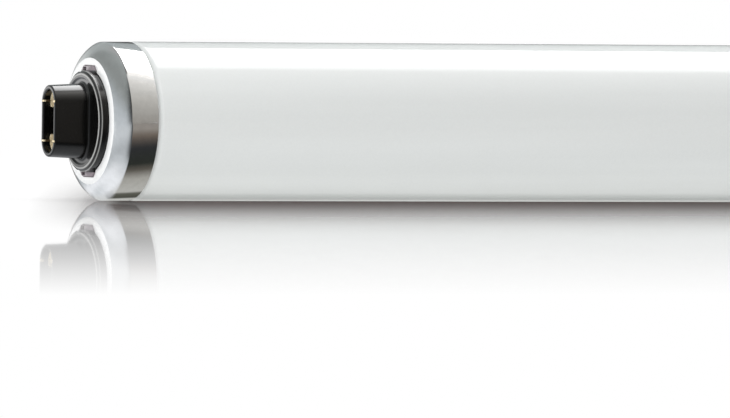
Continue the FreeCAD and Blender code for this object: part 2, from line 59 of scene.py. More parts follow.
# %% Colour helper
def linear(hex_colour):
    """The linear RGBA of a colour written as six hex digits."""
    parts = [int(hex_colour[i:i + 2], 16) / 255 for i in (0, 2, 4)]
    return [p / 12.92 if p <= 0.04045 else ((p + 0.055) / 1.055) ** 2.4 for p in parts] + [1.0]


print("mid grey 808080 in linear light:", round(linear("808080")[0], 3))


# %% Node helpers
def fill(node, inputs):
    """Gives sockets of a node a value or a link. A node as the value stands for its first output."""
    for socket, value in inputs.items():
        if isinstance(value, bpy.types.Node):
            value = next(output for output in value.outputs if output.enabled)
        if isinstance(value, bpy.types.NodeSocket):
            node.id_data.links.new(value, node.inputs[socket])
        else:
            node.inputs[socket].default_value = value


def add_node(tree, kind, inputs=None, **settings):
    """Adds one shader node with its settings, and fills its sockets."""
    node = tree.nodes.new("ShaderNode" + kind)
    for name, value in settings.items():
        setattr(node, name, value)
    fill(node, inputs or {})
    return node


print("node helpers ready")


# %% Material helpers
def new_material(name):
    """A material with its tree, its main shader and the object's own coordinates."""
    material = bpy.data.materials.new(name)
    material.use_nodes = True
    tree = material.node_tree
    place = add_node(tree, "TexCoord").outputs["Object"]
    return material, tree, tree.nodes["Principled BSDF"], place


def pattern(size):
    """The texture scale at which one cell of a pattern is a size in millimetres."""
    return 1 / (size * MM)


def set_ramp(node, stops):
    """Gives a Color Ramp its stops, each a place from 0 to 1 and a hex colour."""
    elements = node.color_ramp.elements
    while len(elements) < len(stops):
        elements.new(1.0)
    for element, (place, colour) in zip(elements, stops):
        element.position = place
        element.color = linear(colour)


print("a pattern of 1 mm has the scale", pattern(1))

# %% [markdown]
# ## The camera
# The photograph looks at the lamp's left end from the front, turned 24 degrees, from very far away:
# the glass hardly narrows towards the right. So the lens is long. The camera stands a little above
# the table, and it is rolled by a hair so that the tube lies level in the picture.

# %% Camera
IMAGE_WIDTH = 730
IMAGE_HEIGHT = 418
PIXELS_PER_MM = 4.19
YAW = math.radians(23.9)
PITCH = math.radians(1.6)
LEVEL_TRIM = math.radians(0.10)
LENS = 800.0
SENSOR = 36.0
BOSS_END = Vector((-282.6, 0.0, 0.0)) * MM
BOSS_END_PIXEL = (48.1, 120.9)

forward = Vector((math.sin(YAW) * math.cos(PITCH), math.cos(YAW) * math.cos(PITCH), -math.sin(PITCH)))
right = forward.cross(Vector((0, 0, 1))).normalized()
roll = math.atan2(right.cross(forward).x, right.x) + LEVEL_TRIM
right = Matrix.Rotation(-roll, 3, forward) @ right
up = right.cross(forward)

distance = IMAGE_WIDTH / SENSOR * LENS / PIXELS_PER_MM * MM
across = (IMAGE_WIDTH / 2 - BOSS_END_PIXEL[0]) / PIXELS_PER_MM * MM
down = (IMAGE_HEIGHT / 2 - BOSS_END_PIXEL[1]) / PIXELS_PER_MM * MM
aim = BOSS_END + right * across - up * down

camera_data = bpy.data.cameras.new("camera")
camera_data.lens = LENS
camera_data.sensor_width = SENSOR
camera = bpy.data.objects.new("camera", camera_data)
bpy.context.scene.collection.objects.link(camera)
turn = Matrix((right, up, -forward)).transposed().to_4x4()
camera.matrix_world = Matrix.Translation(aim - forward * distance) @ turn
bpy.context.scene.camera = camera
bpy.context.scene.view_settings.view_transform = "Standard"
print("camera at", [round(part, 3) for part in camera.location], "roll", round(math.degrees(roll), 2))

# %% [markdown]
# ## Modelling helpers
# Every new piece starts from a primitive and is shaped in edit mode, as by hand. Turned pieces, such
# as the glass and the cap, are drawn as half a section and spun round the tube's axis, which is how a
# lathe or a glass blower makes them. A profile is a list of places in millimetres: how far along the
# tube, and how far out from its axis.

# %% Edit-mode helpers
def pick_object(piece):
    """Makes one object the only one selected, and the active one."""
    bpy.ops.object.select_all(action="DESELECT")
    bpy.context.view_layer.objects.active = piece
    piece.select_set(True)


def edit(piece):
    """Opens one piece in edit mode, with nothing selected."""
    pick_object(piece)
    bpy.ops.object.mode_set(mode="EDIT")
    bpy.ops.mesh.select_all(action="DESELECT")


def close():
    """Leaves edit mode."""
    bpy.ops.object.mode_set(mode="OBJECT")


def pick_all():
    """Selects the whole piece that is open in edit mode."""
    bpy.ops.mesh.select_all(action="SELECT")


def moved(x, y, z):
    """The setting by which an extrusion is moved, from millimetres."""
    return {"TRANSFORM_OT_translate": {"value": Vector((x, y, z)) * MM}}


def select_edges(piece, test):
    """Selects the edges that pass a test, which is given each edge and its middle in millimetres."""
    bpy.ops.mesh.select_mode(type="EDGE")
    bpy.ops.mesh.select_all(action="DESELECT")
    mesh = bmesh.from_edit_mesh(piece.data)
    for edge in mesh.edges:
        if test(edge, (edge.verts[0].co + edge.verts[1].co) / 2 / MM):
            edge.select_set(True)
    mesh.select_flush_mode()
    bmesh.update_edit_mesh(piece.data)


def is_open(edge, middle):
    """True for an edge at the rim of an open mesh."""
    return edge.is_boundary


print("edit-mode helpers ready")


# %% Drawing a profile and spinning it
def weld(piece):
    """Merges double points and turns every face outwards."""
    edit(piece)
    pick_all()
    bpy.ops.mesh.remove_doubles(threshold=0.002 * MM)
    bpy.ops.mesh.normals_make_consistent(inside=False)
    close()


def start_point(name, place):
    """A new piece, left open in edit mode, that is a single point at a place in millimetres."""
    bpy.ops.object.select_all(action="DESELECT")
    bpy.ops.mesh.primitive_plane_add(size=MM)
    piece = bpy.context.object
    piece.name = name
    bpy.ops.object.mode_set(mode="EDIT")
    bpy.ops.mesh.select_mode(type="VERT")
    pick_all()
    bpy.ops.mesh.merge(type="CENTER")
    bpy.ops.transform.translate(value=Vector(place) * MM)
    return piece


def turned(name, profile, steps):
    """Draws a profile by extruding one point from place to place, and spins it round X."""
    piece = start_point(name, (profile[0][0], 0, profile[0][1]))
    for before, after in zip(profile, profile[1:]):
        bpy.ops.mesh.extrude_vertices_move(**moved(after[0] - before[0], 0, after[1] - before[1]))
    pick_all()
    bpy.ops.mesh.spin(steps=steps, angle=2 * math.pi, center=(0, 0, 0), axis=(1, 0, 0))
    close()
    weld(piece)
    return piece


def arc(centre, radius, start, end, count):
    """Points of an arc in a profile, from one angle to another in degrees."""
    angles = [math.radians(start + (end - start) * step / count) for step in range(count + 1)]
    return [(centre[0] + radius * math.cos(a), centre[1] + radius * math.sin(a)) for a in angles]


print("turning helpers ready")


# %% Modifiers and softened edges
def modify(piece, kind, **settings):
    """Adds one modifier and applies it."""
    pick_object(piece)
    modifier = piece.modifiers.new(kind.lower(), kind)
    for name, value in settings.items():
        setattr(modifier, name, value)
    bpy.ops.object.modifier_apply(modifier=modifier.name)


def soften(piece, width):
    """Rounds every sharp edge by a width in millimetres, then shades the curves smooth."""
    modify(piece, "BEVEL", width=width * MM, segments=2, limit_method="ANGLE",
           angle_limit=math.radians(35), miter_outer="MITER_ARC")
    bpy.ops.object.shade_smooth_by_angle(angle=math.radians(32))


print("modifier helpers ready")

# %% [markdown]
# ## The glass tube
# The real tube is drawn soda glass, about 1 mm thick. Near each end it is drawn in a little, so that
# the cap's skirt can sit flush with it, and the end is melted shut round a stem that carries the lead
# wires. The inside is coated, so nothing shows through, and one closed skin can stand for it. Half
# the section is written down, from the straight barrel to the sealed exhaust tube on the axis. Its
# mirror makes the other half, and the whole is spun in one go.

# %% Glass sizes, in millimetres
RING_PLACE = 272.0
GLASS_RADIUS = 19.05
NECK_RADIUS = 17.6
SHOULDER_START = RING_PLACE - 11.8
SHOULDER_LENGTH = 3.6
GLASS_END = RING_PLACE - 4.6
END_ROUNDING = 1.8
MOUTH_ROUNDING = 2.2
MOUTH_RADIUS = 11.0
STEM_ROOT_RADIUS = 6.5
STEM_DEPTH = 20.0
EXHAUST_RADIUS = 2.4
EXHAUST_LENGTH = 11.0
BARREL_RING = 130.0
ROUND_STEPS = 160

# %% Glass profile and spin
def drawn_in(count):
    """The curve by which the glass narrows from barrel to neck."""
    points = []
    for step in range(count + 1):
        part = step / count
        radius = NECK_RADIUS + (GLASS_RADIUS - NECK_RADIUS) * (1 + math.cos(math.pi * part)) / 2
        points.append((SHOULDER_START + SHOULDER_LENGTH * part, radius))
    return points


end_centre = (GLASS_END - END_ROUNDING, NECK_RADIUS - END_ROUNDING)
mouth_centre = (GLASS_END - MOUTH_ROUNDING, MOUTH_RADIUS + MOUTH_ROUNDING)
stem_floor = GLASS_END - STEM_DEPTH
exhaust_centre = (stem_floor + EXHAUST_LENGTH - EXHAUST_RADIUS, 0.0)
half_section = (
    [(0.0, GLASS_RADIUS), (BARREL_RING, GLASS_RADIUS)]
    + drawn_in(12)
    + arc(end_centre, END_ROUNDING, 90, 0, 8)
    + arc(mouth_centre, MOUTH_ROUNDING, 0, -90, 8)
    + [(stem_floor, STEM_ROOT_RADIUS), (stem_floor, EXHAUST_RADIUS)]
    + arc(exhaust_centre, EXHAUST_RADIUS, 90, 0, 8)
)
other_half = [(-along, out) for along, out in reversed(half_section[1:])]
glass = turned("coated_glass_tube", other_half + half_section, ROUND_STEPS)
bpy.ops.object.shade_smooth_by_angle(angle=math.radians(40))
print("glass faces:", len(glass.data.polygons))

# %% [markdown]
# ## The end cap
# The cap is drawn from thin aluminium sheet in a press: a flat ring, a narrow coined step, a rounded
# shoulder, and a skirt that slips over the neck of the glass. It is spun here as a bare surface, the
# outer face, and Solidify gives it the sheet's thickness. The two notches that lock the moulding are
# punched out by a cutter, as in the press. A light bevel breaks every edge, because real sheet never
# ends in a knife edge, and that bevel is what catches the light.

# %% Cap sizes, in millimetres, from the flat ring
SKIRT_RADIUS = 19.0
SHEET = 0.4
CAP_DEPTH = 10.0
HOLE_RADIUS = 12.4
RING_RADIUS = 15.3
COIN_WIDTH = 0.3
COIN_DEPTH = 0.12
SHOULDER_DEPTH = 3.3
SHOULDER_CURVE = 6.5
CORNER_RADIUS = 0.9
LUG_FOOT = 4.1
LUG_TOP = 3.0
LUG_KNEE = 12.1
LUG_REACH = 1.1
LUG_GAP = 0.2
NOTCH_LOW = 10.5
NOTCH_RUN = (2.0, -4.0)

# %% Cap profile
def shoulder_arc(count):
    """The pressed curve from the coined step to the skirt, with its corner rounded at the skirt."""
    start = Vector((-COIN_DEPTH, RING_RADIUS))
    end = Vector((-SHOULDER_DEPTH, SKIRT_RADIUS))
    middle = (start + end) / 2
    chord = end - start
    reach = math.sqrt(SHOULDER_CURVE ** 2 - (chord.length / 2) ** 2)
    inward = Vector((chord.y, -chord.x)).normalized() * -1
    centre = middle + inward * reach
    if centre.x > middle.x:
        centre = middle - inward * reach
    inner = SHOULDER_CURVE - CORNER_RADIUS
    corner_out = SKIRT_RADIUS - CORNER_RADIUS
    corner_along = centre.x + math.sqrt(inner ** 2 - (corner_out - centre.y) ** 2)
    corner = (corner_along, corner_out)
    first = math.degrees(math.atan2(start.y - centre.y, start.x - centre.x))
    last = math.degrees(math.atan2(corner_out - centre.y, corner_along - centre.x))
    return arc(centre, SHOULDER_CURVE, first, last, count) + arc(corner, CORNER_RADIUS, last, 90, 6)[1:]


# A narrow first band keeps the shading of the bend off the skirt, whose mirror lines then stay straight.
FIRST_BAND = 0.2
shoulder = shoulder_arc(12)
cap_section = (
    [(0.0, HOLE_RADIUS), (0.0, RING_RADIUS - COIN_WIDTH)]
    + shoulder
    + [(shoulder[-1][0] - FIRST_BAND, SKIRT_RADIUS), (-CAP_DEPTH, SKIRT_RADIUS)]
)
cap = turned("end_cap", cap_section, ROUND_STEPS)
modify(cap, "SOLIDIFY", thickness=SHEET * MM, offset=-1, use_even_offset=True)
print("cap shell faces:", len(cap.data.polygons))


# %% Upright plate
def upright_plate(name):
    """A plate 2 mm square that faces along X, left open in edit mode with all of it selected."""
    bpy.ops.object.select_all(action="DESELECT")
    bpy.ops.mesh.primitive_plane_add(size=2 * MM, rotation=(0, math.pi / 2, 0))
    plate = bpy.context.object
    plate.name = name
    bpy.ops.object.transform_apply(rotation=True)
    edit(plate)
    pick_all()
    return plate


print("upright plate ready")


# %% Notch cutter
def trapezium_block(name, gap, low, front, back, side):
    """A block with the outline of a locking lug, grown by a gap, from one place along X to another."""
    block = upright_plate(name)
    foot = LUG_FOOT + gap
    bpy.ops.transform.resize(value=(1, foot, (LUG_KNEE - low) / 2))
    bpy.ops.transform.translate(value=Vector((back, 0, (LUG_KNEE + low) / 2)) * MM)
    select_edges(block, lambda edge, middle: middle.z > LUG_KNEE - 0.01)
    bpy.ops.mesh.extrude_edges_move(**moved(0, 0, LUG_REACH + gap))
    bpy.ops.transform.resize(value=(1, (LUG_TOP + gap) / foot, 1))
    pick_all()
    bpy.ops.mesh.extrude_region_move(**moved(front - back, 0, 0))
    if side < 0:
        pick_all()
        bpy.ops.transform.mirror(constraint_axis=(False, False, True), center_override=(0, 0, 0))
    close()
    weld(block)
    return block


print("notch %.1f mm wide at its foot" % ((LUG_FOOT + LUG_GAP) * 2))


# %% Notches punched
def combine(piece, tool, operation):
    """Cuts a tool out of a piece, or joins it on, and throws the tool away."""
    modify(piece, "BOOLEAN", object=tool, operation=operation, solver="EXACT")
    bpy.data.objects.remove(tool)


for side in (1, -1):
    combine(cap, trapezium_block("notch_cutter", LUG_GAP, NOTCH_LOW, *NOTCH_RUN, side), "DIFFERENCE")
weld(cap)
soften(cap, 0.07)
print("cap faces:", len(cap.data.polygons))

# %% [markdown]
# ## The insulator moulding
# One black moulding fills the hole of the cap: a flange behind the ring, a disc with a raised rim,
# two lugs that lock in the notches, and the oval boss. On the real lamp it is hot-pressed in one
# shot, so it is built here as one skin too. The disc is turned, the boss starts as a flat plate whose
# corners are rounded until it is an oval, and the two open rims are bridged. The fillet at the root
# of the boss and the slight draft of its sides come from the steps by which it is extruded.

# %% Moulding sizes, in millimetres, from the flat ring
RIM_HEIGHT = 2.25
FACE = 1.85
RIM_INSIDE = 10.5
RIM_WIDTH = 0.8
RIM_SLOPE = 0.4
RIM_CHAMFER = (0.6, 0.8)
FLANGE_RADIUS = 14.6
FLANGE_THICKNESS = 2.0
HOLLOW_RADIUS = 10.0
HOLLOW_PLACE = 0.5
LUG_HEIGHT = 0.4
LUG_LOW = 11.4
LUG_SUNK = 0.3
POCKET = (1.2, 11.75)
POCKET_DEPTH = 1.5
BOSS_REACH = 10.6
BOSS_LENGTH = 17.2
BOSS_WIDTH = 8.45
BOSS_DRAFT = math.radians(2.7)
ROOT_FILLET = 0.6
RECESS_WALL = 1.05
RECESS_FLOOR = 2.4
LEAD_IN = 0.25
RIM_ROUND = 0.35
DISC_STEPS = 128

# %% Disc, turned
disc_radius = RIM_INSIDE + RIM_WIDTH + RIM_CHAMFER[1]
disc_section = [
    (HOLLOW_PLACE, 0.0),
    (HOLLOW_PLACE, HOLLOW_RADIUS),
    (-SHEET - FLANGE_THICKNESS, HOLLOW_RADIUS),
    (-SHEET - FLANGE_THICKNESS, FLANGE_RADIUS),
    (-SHEET, FLANGE_RADIUS),
    (-SHEET, disc_radius),
    (RIM_HEIGHT - RIM_CHAMFER[0], disc_radius),
    (RIM_HEIGHT, disc_radius - RIM_CHAMFER[1]),
    (RIM_HEIGHT, RIM_INSIDE),
    (FACE, RIM_INSIDE - RIM_SLOPE),
]
moulding = turned("insulator", disc_section, DISC_STEPS)
print("disc faces:", len(moulding.data.polygons))


# %% Oval plate and its steps
def oval_plate(name, place, width, length):
    """A flat oval with half-round ends, upright, facing out along X."""
    plate = upright_plate(name)
    bpy.ops.transform.resize(value=(1, width / 2, length / 2))
    bpy.ops.transform.translate(value=(place * MM, 0, 0))
    bpy.ops.mesh.bevel(offset=(width / 2 - 0.002) * MM, segments=14, affect="VERTICES")
    bpy.ops.mesh.remove_doubles(threshold=0.005 * MM)
    close()
    return plate


def extrude_rim(along, grow, width, length):
    """Extrudes the selected oval rim along X while it grows on every side, and gives its new size."""
    bpy.ops.mesh.extrude_edges_move(**moved(along, 0, 0))
    grown = (width + grow * 2, length + grow * 2)
    bpy.ops.transform.resize(value=(1, grown[0] / width, grown[1] / length), center_override=(0, 0, 0))
    return grown


def quarter_steps(radius, count):
    """The steps of a quarter circle: how far each goes down and how far out."""
    angles = [math.radians(90 * step / count) for step in range(count + 1)]
    return [(radius * (math.cos(a) - math.cos(b)), radius * (math.sin(b) - math.sin(a)))
            for a, b in zip(angles, angles[1:])]


print("oval plate ready")

# %% Boss, from the oval plate
boss = oval_plate("boss", BOSS_REACH, BOSS_WIDTH - RIM_ROUND * 2, BOSS_LENGTH - RIM_ROUND * 2)
edit(boss)
bpy.ops.mesh.select_mode(type="FACE")
pick_all()
bpy.ops.mesh.inset(thickness=(RECESS_WALL - LEAD_IN - RIM_ROUND) * MM)
bpy.ops.mesh.inset(thickness=LEAD_IN * MM, depth=-LEAD_IN * MM)
bpy.ops.mesh.extrude_region_move(**moved(RECESS_FLOOR - BOSS_REACH + LEAD_IN, 0, 0))
select_edges(boss, is_open)
size = (BOSS_WIDTH - RIM_ROUND * 2, BOSS_LENGTH - RIM_ROUND * 2)
for down, out in quarter_steps(RIM_ROUND, 5):
    size = extrude_rim(-down, out, *size)
side_run = BOSS_REACH - FACE - ROOT_FILLET - RIM_ROUND
size = extrude_rim(-side_run, side_run * math.tan(BOSS_DRAFT), *size)
for out, down in quarter_steps(ROOT_FILLET, 6):
    size = extrude_rim(-down, out, *size)
close()
print("boss at its root: %.2f x %.2f mm" % size)

# %% Disc and boss bridged into one skin
bpy.ops.object.select_all(action="DESELECT")
boss.select_set(True)
moulding.select_set(True)
bpy.context.view_layer.objects.active = moulding
bpy.ops.object.join()
edit(moulding)
select_edges(moulding, is_open)
bpy.ops.mesh.bridge_edge_loops()
close()
weld(moulding)
for side in (1, -1):
    combine(moulding, trapezium_block("lug", 0.0, LUG_LOW, LUG_HEIGHT, -SHEET - LUG_SUNK, side), "UNION")
print("moulding faces:", len(moulding.data.polygons))

# %% [markdown]
# The contacts need room: four shallow grooves let their ears lie on the rim of the boss, and two
# slots let their tails through the floor of the recess. Each lug also has a small dark pocket at one
# side, which the photograph shows. All are cut with plain blocks, as the core pins of the mould leave
# them.

# %% Contact sizes, in millimetres
STRIP = 0.35
STRIP_GAP = 0.05
SET_IN = 0.1
BELOW_RIM = 1.8
LEG = 0.35
FLARE = (0.8, 0.45)
EAR_WIDTH = 0.45
EAR_OFFSET = 0.4
EAR_REACH = 0.75
EAR_GAP = 0.08
EAR_SET_BACK = 0.4
TAIL_WIDTH = 1.4
TAIL_LENGTH = 6.0
TAIL_GAP = 0.12
TAIL_STEP = 0.5
bend_centre = (BOSS_LENGTH - BOSS_WIDTH) / 2
recess_half = BOSS_WIDTH / 2 - RECESS_WALL
strip_outside = recess_half - STRIP_GAP
tail_outside = bend_centre + strip_outside - SET_IN
print("contact bend radius %.3f mm, its centre %.3f mm off the axis" % (strip_outside, bend_centre))


# %% Grooves and slots cut
def block(name, low, high):
    """A plain block between two corners in millimetres, as a cutter."""
    bpy.ops.object.select_all(action="DESELECT")
    low = Vector(low)
    high = Vector(high)
    bpy.ops.mesh.primitive_cube_add(size=MM, location=(low + high) / 2 * MM, scale=high - low)
    cutter = bpy.context.object
    cutter.name = name
    bpy.ops.object.transform_apply(location=True, scale=True)
    return cutter


ear_low = bend_centre + EAR_OFFSET - EAR_WIDTH / 2 - EAR_GAP
ear_high = bend_centre + EAR_OFFSET + EAR_WIDTH / 2 + EAR_GAP
groove_floor = BOSS_REACH - STRIP - EAR_GAP
for side in (1, -1):
    z_low, z_high = sorted((POCKET[1] * side, (LUG_KNEE + LUG_REACH - 0.25) * side))
    pocket = block("pocket", (LUG_HEIGHT - POCKET_DEPTH, -LUG_TOP - 0.1, z_low),
                   (RIM_HEIGHT, -POCKET[0], z_high))
    combine(moulding, pocket, "DIFFERENCE")
    z_low, z_high = sorted((ear_low * side, ear_high * side))
    for flank in (1, -1):
        y_low, y_high = sorted(((recess_half - STRIP) * flank, (recess_half + EAR_REACH + EAR_GAP) * flank))
        groove = block("groove", (groove_floor, y_low, z_low), (BOSS_REACH + 1, y_high, z_high))
        combine(moulding, groove, "DIFFERENCE")
    z_low, z_high = sorted(((tail_outside - STRIP - TAIL_GAP) * side, (tail_outside + TAIL_GAP) * side))
    half = TAIL_WIDTH / 2 + TAIL_GAP
    slot = block("slot", (HOLLOW_PLACE - 1, -half, z_low), (RECESS_FLOOR + 0.5, half, z_high))
    combine(moulding, slot, "DIFFERENCE")
weld(moulding)
soften(moulding, 0.1)
print("moulding faces, softened:", len(moulding.data.polygons))

# %% [markdown]
# ## The contacts
# Each contact is stamped from brass strip: a U that springs against one rounded end of the recess,
# two ears hooked over the rim of the boss, and a tail through the floor for the lead wire. The strip
# is modelled as a bare ribbon first. One edge is spun round the end of the recess in a few uneven
# steps, so that the ears and the tail have a step of their own to grow from. Solidify then gives the
# ribbon the thickness of the sheet.

# %% Angles and steps of the ribbon
ear_start = math.degrees(math.asin((EAR_OFFSET - EAR_WIDTH / 2) / strip_outside))
ear_end = math.degrees(math.asin((EAR_OFFSET + EAR_WIDTH / 2) / strip_outside))
tail_angle = math.degrees(math.asin(TAIL_WIDTH / 2 / strip_outside))
strip_top = BOSS_REACH - BELOW_RIM


def spin_edge(angle, steps):
    """Carries the selected edge on round the middle of the bend."""
    centre = Vector((0, 0, bend_centre)) * MM
    bpy.ops.mesh.spin(steps=steps, angle=math.radians(angle), center=centre, axis=(-1, 0, 0))


def grow_edge(x, y, z):
    """Extrudes the selected edges by a step in millimetres."""
    bpy.ops.mesh.extrude_edges_move(**moved(x, y, z))


def radial_angle(middle):
    """How far round the bend a point lies, from 0 at its near leg to 180 at its far one."""
    return math.degrees(math.atan2(middle.z - bend_centre, middle.y))


print("ears from %.1f to %.1f degrees round the bend" % (ear_start, ear_end))

# %% Ribbon of the contact
contact = start_point("contact", (RECESS_FLOOR, strip_outside, bend_centre))
bpy.ops.mesh.extrude_vertices_move(**moved(strip_top - RECESS_FLOOR, 0, 0))
pick_all()
bpy.ops.mesh.select_mode(type="EDGE")
for angle, steps in (
    (ear_start, 1),
    (ear_end - ear_start, 2),
    (90 - tail_angle - ear_end, 8),
    (tail_angle * 2, 4),
    (90 - tail_angle - ear_end, 8),
    (ear_end - ear_start, 2),
    (ear_start, 1),
):
    spin_edge(angle, steps)
for flank in (1, -1):
    select_edges(contact, lambda edge, middle: edge.is_boundary
                 and abs(middle.y - strip_outside * flank) < 0.01 and abs(middle.z - bend_centre) < 0.001)
    grow_edge(0, 0, -LEG)
    grow_edge(0, -FLARE[1] * flank, -FLARE[0])
print("ribbon faces:", len(bmesh.from_edit_mesh(contact.data).faces))

# %% Ears and tail
for flank in (1, -1):
    def on_ear(edge, middle):
        angle = radial_angle(middle) if flank > 0 else 180 - radial_angle(middle)
        level = edge.is_boundary and middle.x > strip_top - 0.01
        return level and ear_start - 0.1 < angle < ear_end + 0.1

    select_edges(contact, on_ear)
    grow_edge(EAR_SET_BACK, -SET_IN * flank, 0)
    grow_edge(BELOW_RIM - STRIP - EAR_SET_BACK, 0, 0)
    grow_edge(0, (recess_half + EAR_REACH - strip_outside + SET_IN) * flank, 0)


def on_tail(edge, middle):
    level = edge.is_boundary and middle.x < RECESS_FLOOR + 0.01
    return level and abs(radial_angle(middle) - 90) < tail_angle + 0.1


select_edges(contact, on_tail)
grow_edge(-TAIL_STEP, 0, -SET_IN)
grow_edge(-(TAIL_LENGTH - TAIL_STEP), 0, 0)
close()
print("ribbon box, mm:", [round(side / MM, 2) for side in contact.dimensions])
modify(contact, "SOLIDIFY", thickness=STRIP * MM, offset=1, use_even_offset=True)
weld(contact)
soften(contact, 0.05)
print("contact faces:", len(contact.data.polygons))

# %% [markdown]
# ## Both ends
# The end was modelled once, in its own frame, with the flat ring at zero. Each end of the lamp gets a
# copy with its own mesh. The left copies are turned half a turn about the upright axis, and the lower
# contacts half a turn about the tube's. Place and turn are then applied, so that every object sits at
# the origin, as the CAD nodes do.

# %% Copies in place
def placed(source, name, end, upside_down=False):
    """A copy of a piece of the end, put at the right end (1) or the left end (-1) of the lamp."""
    piece = source.copy()
    piece.data = source.data.copy()
    piece.name = name
    bpy.context.scene.collection.objects.link(piece)
    turn = Matrix.Rotation(0 if end > 0 else math.pi, 4, "Z")
    flip = Matrix.Rotation(math.pi if upside_down else 0, 4, "X")
    piece.matrix_world = Matrix.Translation((RING_PLACE * end * MM, 0, 0)) @ turn @ flip
    pick_object(piece)
    bpy.ops.object.transform_apply(location=True, rotation=True, scale=True)
    return piece


pieces = [(glass, "glass_tube", "coated_glass")]
for end_name, end in (("left", -1), ("right", 1)):
    pieces.append((placed(cap, end_name + "_cap_shell", end), end_name + "_end_cap", "aluminium"))
    pieces.append((placed(moulding, end_name + "_moulding", end), end_name + "_insulator", "insulator"))
    for side_name, flipped in (("upper", False), ("lower", True)):
        label = "%s_%s_" % (end_name, side_name)
        strip = placed(contact, label + "spring_contact", end, flipped)
        pieces.append((strip, label + "contact", "brass"))
for source in (cap, moulding, contact):
    bpy.data.objects.remove(source)
for piece, node, slot in pieces:
    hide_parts(node)
    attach(piece, "root")
print("pieces:", len(pieces))

# %% [markdown]
# ## Glass under a clear skin
# Common name: soda-lime glass with a halophosphate coating. The powder inside is dead white and
# scatters light, and the smooth glass over it gives the crisp, narrow reflection of the lamps
# overhead. So the base is rough and pale, and a clear coat with the index of glass lies over it. The
# powder was flushed down the tube as a slurry, which leaves very faint long runs and a fine grain.

# %% Coated glass
coated_glass, tree, shader, place = new_material("powder_coated_soda_glass")
stretched = add_node(tree, "Mapping", {"Vector": place, "Scale": (pattern(250), pattern(11), pattern(11))})
runs = add_node(tree, "TexNoise", {"Vector": stretched, "Scale": 1.0, "Detail": 3.0})
# The powder's own grain is finer than 0.01 mm and would not show, so it is drawn at half a millimetre.
grain = add_node(tree, "TexNoise", {"Vector": place, "Scale": pattern(0.55), "Detail": 2.0})
both = add_node(tree, "Mix", {"Factor": 0.25, "A": runs, "B": grain}, data_type="FLOAT")
tone = add_node(tree, "ValToRGB", {"Fac": both})
set_ramp(tone, [(0.35, "e6e9e8"), (0.65, "ecefee")])
ripple = add_node(tree, "TexNoise", {"Vector": place, "Scale": pattern(25), "Detail": 1.0})
waves = add_node(tree, "Bump", {"Height": ripple, "Strength": 0.04, "Distance": 0.0002})
fill(shader, {"Base Color": tone, "Roughness": 0.55, "IOR": 1.5})
fill(shader, {"Coat Weight": 1.0, "Coat Roughness": 0.02, "Coat IOR": 1.5, "Coat Normal": waves})
print("coated glass ready")

# %% [markdown]
# ## Drawn aluminium
# Common name: aluminium sheet, deep drawn. The skirt is burnished by the ironing ring of the press:
# smooth, with faint lines round it. The shoulder is only stretched over the punch, so its surface
# stays dull and a little mottled. The flat ring round the moulding is evenly bright in the photograph
# from edge to edge and mirrors nothing, as pickled or lacquered sheet does, so it scatters light and
# is no mirror. One material does all three, and the place along the tube tells them apart.

# %% Aluminium
aluminium, tree, shader, place = new_material("deep_drawn_aluminium")
axes = add_node(tree, "SeparateXYZ", {"Vector": place})
from_middle = add_node(tree, "Math", {0: axes.outputs["X"]}, operation="ABSOLUTE")
shoulder_edge = (RING_PLACE - SHOULDER_DEPTH) * MM
on_shoulder = add_node(tree, "MapRange", {
    "Value": from_middle, "From Min": shoulder_edge - 0.1 * MM, "From Max": shoulder_edge + 0.5 * MM})
# The lines of the ironing ring are about 0.05 mm apart. They are drawn at 0.4 mm, or they would not show.
rings = add_node(tree, "Mapping", {"Vector": place, "Scale": (pattern(0.4), pattern(40), pattern(40))})
lines = add_node(tree, "TexNoise", {"Vector": rings, "Scale": 1.0, "Detail": 2.0})
mottle = add_node(tree, "TexNoise", {"Vector": place, "Scale": pattern(1.4), "Detail": 4.0})
skirt_rough = add_node(tree, "MapRange", {"Value": lines, "To Min": 0.095, "To Max": 0.115})
dull_rough = add_node(tree, "MapRange", {"Value": mottle, "To Min": 0.17, "To Max": 0.27})
rough = add_node(tree, "Mix", {"Factor": on_shoulder, "A": skirt_rough, "B": dull_rough},
                 data_type="FLOAT")
tone = add_node(tree, "ValToRGB", {"Fac": mottle})
set_ramp(tone, [(0.3, "eff0f0"), (0.7, "f6f7f7")])
ring_from = (RING_PLACE - 0.06) * MM
on_ring = add_node(tree, "Math", {0: from_middle, 1: ring_from}, operation="GREATER_THAN")
metal = add_node(tree, "MapRange", {"Value": on_ring, "To Min": 1.0, "To Max": 0.0})
relief = add_node(tree, "Mix", {"Factor": on_shoulder, "A": lines, "B": mottle}, data_type="FLOAT")
marks = add_node(tree, "Bump", {"Height": relief, "Strength": 0.06, "Distance": 0.00003})
fill(shader, {"Base Color": tone, "Metallic": metal, "Roughness": rough, "Normal": marks})
print("aluminium ready")

# %% [markdown]
# ## Black moulding
# Common name: phenolic moulding, hot pressed. The mould was polished, so the skin has a satin gloss,
# and a fine filler grain shows through it. Its black is slightly warm. The two edges of the raised rim
# carry a painted highlight, pale lines where they would catch the light, and the lugs carry a painted
# reflection, a pinkish grey face. The gloss is strongest along the top, where the boss has its broad
# sheen.

# %% Phenolic
phenolic, tree, shader, place = new_material("black_phenolic_moulding")
